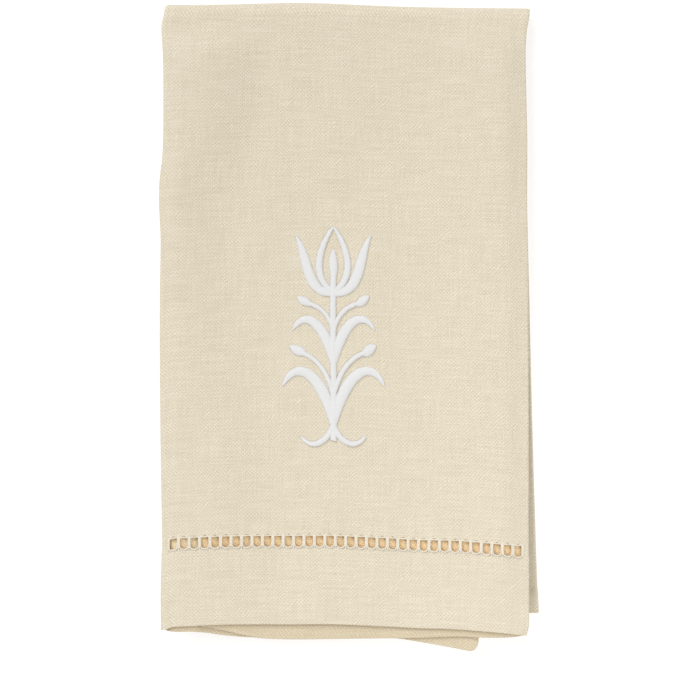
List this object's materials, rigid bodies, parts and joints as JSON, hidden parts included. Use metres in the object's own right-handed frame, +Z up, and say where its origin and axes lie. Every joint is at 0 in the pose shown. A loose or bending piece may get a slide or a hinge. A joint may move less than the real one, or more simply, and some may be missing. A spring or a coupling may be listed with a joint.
{
  "type": "folded guest towel",
  "caption": "Linen guest towel folded in three lengthwise and doubled over, with a hemstitched deep hem and a white embroidered sprig.",
  "frame": {"origin": "on the surface the towel lies on, under the middle of its bounding box", "axes": "+Z up out of the front panel, +Y towards the top fold, +X to the right of a viewer who looks down on it"},
  "size_m": [0.137, 0.2336, 0.0131],
  "materials": {
    "linen": "plain-woven natural linen",
    "white_thread": "satin-stitched cotton thread"
  },
  "bodies": {
    "root": {"towel_cloth": "linen", "embroidered_sprig": "white_thread"}
  },
  "joints": []
}
